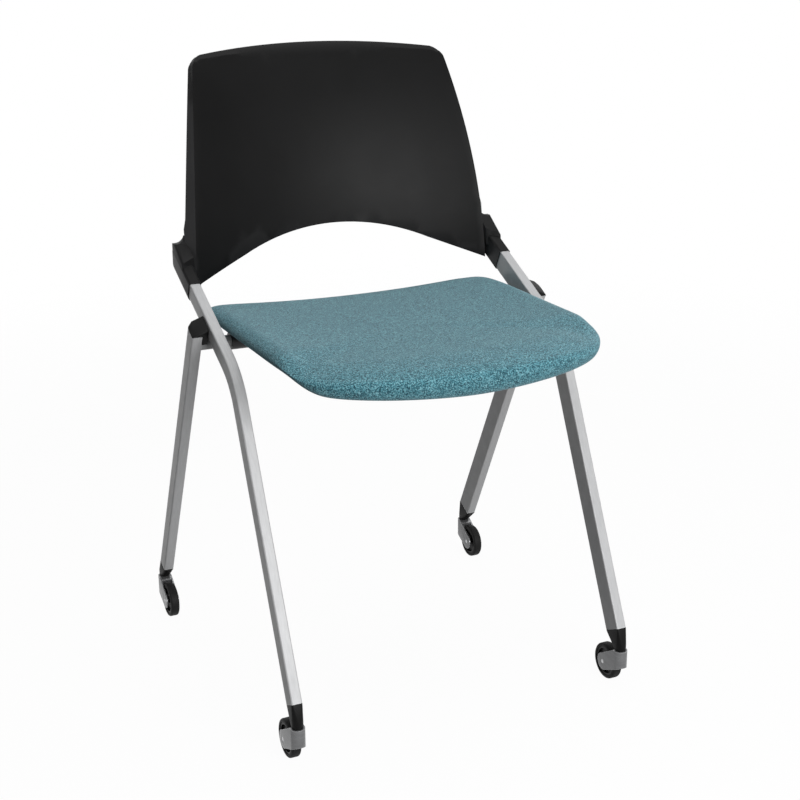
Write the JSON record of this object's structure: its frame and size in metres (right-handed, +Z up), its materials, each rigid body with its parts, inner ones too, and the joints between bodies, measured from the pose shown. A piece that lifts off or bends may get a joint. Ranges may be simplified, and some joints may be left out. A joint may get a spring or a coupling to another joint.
{
  "type": "nesting chair",
  "caption": "Nesting chair: tip-up upholstered seat, curved plastic back with an arch under it, crossed side legs of flat-sided tube on swivel casters.",
  "frame": {"origin": "on the floor, midway between the legs and on the chair's plane of symmetry", "axes": "+X to the right as seen from the front, the sitter faces -Y, +Z up"},
  "size_m": [0.5296, 0.5431, 0.8325],
  "materials": {
    "leg_tube": "satin silver coating",
    "fork": "polished",
    "fastener": "zinc plated",
    "back": "satin black",
    "cap": "satin black",
    "hinge": "satin black",
    "pan": "black stained plywood",
    "wheel": "satin black",
    "tyre": "matt black",
    "upholstery": "teal heathered weave"
  },
  "bodies": {
    "frame": {"front_tube_left": "leg_tube", "front_tube_right": "leg_tube", "rear_tube_left": "leg_tube", "rear_tube_right": "leg_tube", "cross_tube": "leg_tube", "stop_pins": "fastener", "leg_cap_left": "cap", "leg_cap_right": "cap", "back_shell": "back", "ferrule_front_left": "cap", "ferrule_front_right": "cap", "ferrule_rear_left": "cap", "ferrule_rear_right": "cap", "caster_stem_front_left": "fastener", "caster_stem_front_right": "fastener", "caster_stem_rear_left": "fastener", "caster_stem_rear_right": "fastener"},
    "seat": {"seat_pan": "pan", "seat_hinge_left": "hinge", "seat_hinge_right": "hinge", "hinge_screws": "fastener", "seat_cushion": "upholstery"},
    "fork_front_left": {"caster_fork_front_left": "fork", "caster_axle_front_left": "fastener"},
    "wheel_front_left": {"wheel_core_front_left": "wheel", "tyre_front_left": "tyre"},
    "fork_front_right": {"caster_fork_front_right": "fork", "caster_axle_front_right": "fastener"},
    "wheel_front_right": {"wheel_core_front_right": "wheel", "tyre_front_right": "tyre"},
    "fork_rear_left": {"caster_fork_rear_left": "fork", "caster_axle_rear_left": "fastener"},
    "wheel_rear_left": {"wheel_core_rear_left": "wheel", "tyre_rear_left": "tyre"},
    "fork_rear_right": {"caster_fork_rear_right": "fork", "caster_axle_rear_right": "fastener"},
    "wheel_rear_right": {"wheel_core_rear_right": "wheel", "tyre_rear_right": "tyre"}
  },
  "joints": [
    {"name": "seat_tip_up", "type": "hinge", "parent": "frame", "child": "seat", "pos_m": [0, 0.0505, 0.46947], "axis": [-1, 0, 0], "range_deg": [0, 78]},
    {"name": "swivel_front_left", "type": "hinge", "parent": "frame", "child": "fork_front_left", "pos_m": [-0.23375, -0.23598, 0.054], "axis": [0, 0, 1], "continuous": true},
    {"name": "wheel_spin_front_left", "type": "hinge", "parent": "fork_front_left", "child": "wheel_front_left", "pos_m": [-0.23375, -0.20798, 0.025], "axis": [1, 0, 0], "continuous": true},
    {"name": "swivel_front_right", "type": "hinge", "parent": "frame", "child": "fork_front_right", "pos_m": [0.23375, -0.23598, 0.054], "axis": [0, 0, 1], "continuous": true},
    {"name": "wheel_spin_front_right", "type": "hinge", "parent": "fork_front_right", "child": "wheel_front_right", "pos_m": [0.23375, -0.20798, 0.025], "axis": [1, 0, 0], "continuous": true},
    {"name": "swivel_rear_left", "type": "hinge", "parent": "frame", "child": "fork_rear_left", "pos_m": [-0.25525, 0.26504, 0.054], "axis": [0, 0, 1], "continuous": true},
    {"name": "wheel_spin_rear_left", "type": "hinge", "parent": "fork_rear_left", "child": "wheel_rear_left", "pos_m": [-0.25525, 0.23704, 0.025], "axis": [1, 0, 0], "continuous": true},
    {"name": "swivel_rear_right", "type": "hinge", "parent": "frame", "child": "fork_rear_right", "pos_m": [0.25525, 0.26504, 0.054], "axis": [0, 0, 1], "continuous": true},
    {"name": "wheel_spin_rear_right", "type": "hinge", "parent": "fork_rear_right", "child": "wheel_rear_right", "pos_m": [0.25525, 0.23704, 0.025], "axis": [1, 0, 0], "continuous": true}
  ]
}
